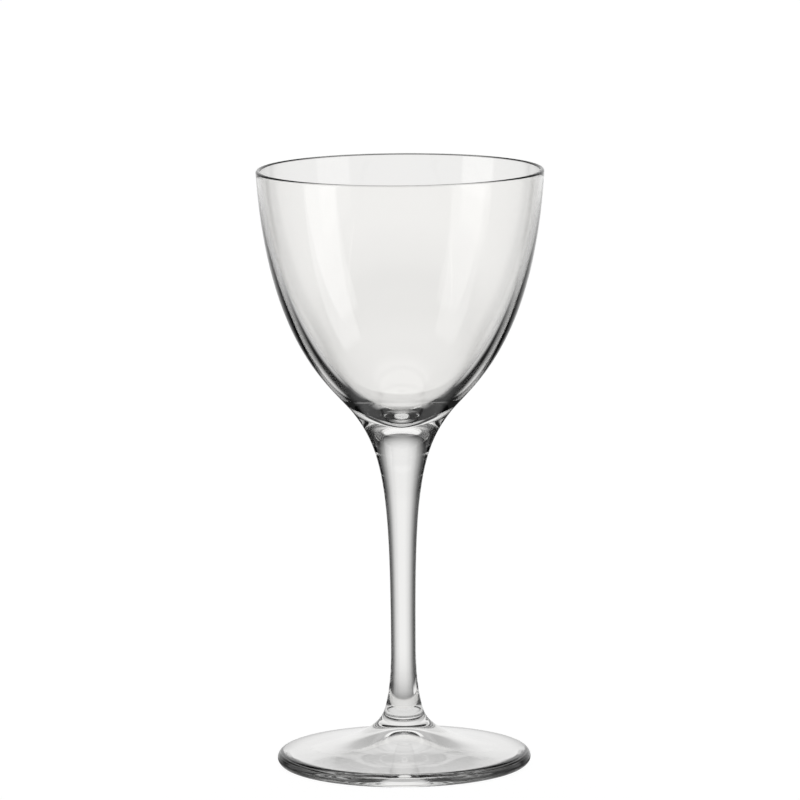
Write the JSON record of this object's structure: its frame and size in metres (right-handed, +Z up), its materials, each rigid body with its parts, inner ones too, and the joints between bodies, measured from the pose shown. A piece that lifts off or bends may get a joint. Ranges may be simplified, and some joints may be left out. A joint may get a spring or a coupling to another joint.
{
  "type": "nick and nora glass",
  "caption": "Clear stemmed cocktail glass with a small deep bowl, a slim flared stem and a round foot; it holds a short drink and stands on a table.",
  "frame": {"origin": "on the axis of the glass, level with the ring under the foot that stands on the table", "axes": "+Z up along the axis from the foot to the rim; the glass is turned, so +X and +Y are alike"},
  "size_m": [0.0724, 0.0724, 0.1516],
  "materials": {
    "clear_glass": "clear, colourless, smooth and fire-polished all over"
  },
  "bodies": {
    "root": {"bowl": "clear_glass", "stem": "clear_glass", "foot": "clear_glass"}
  },
  "joints": []
}
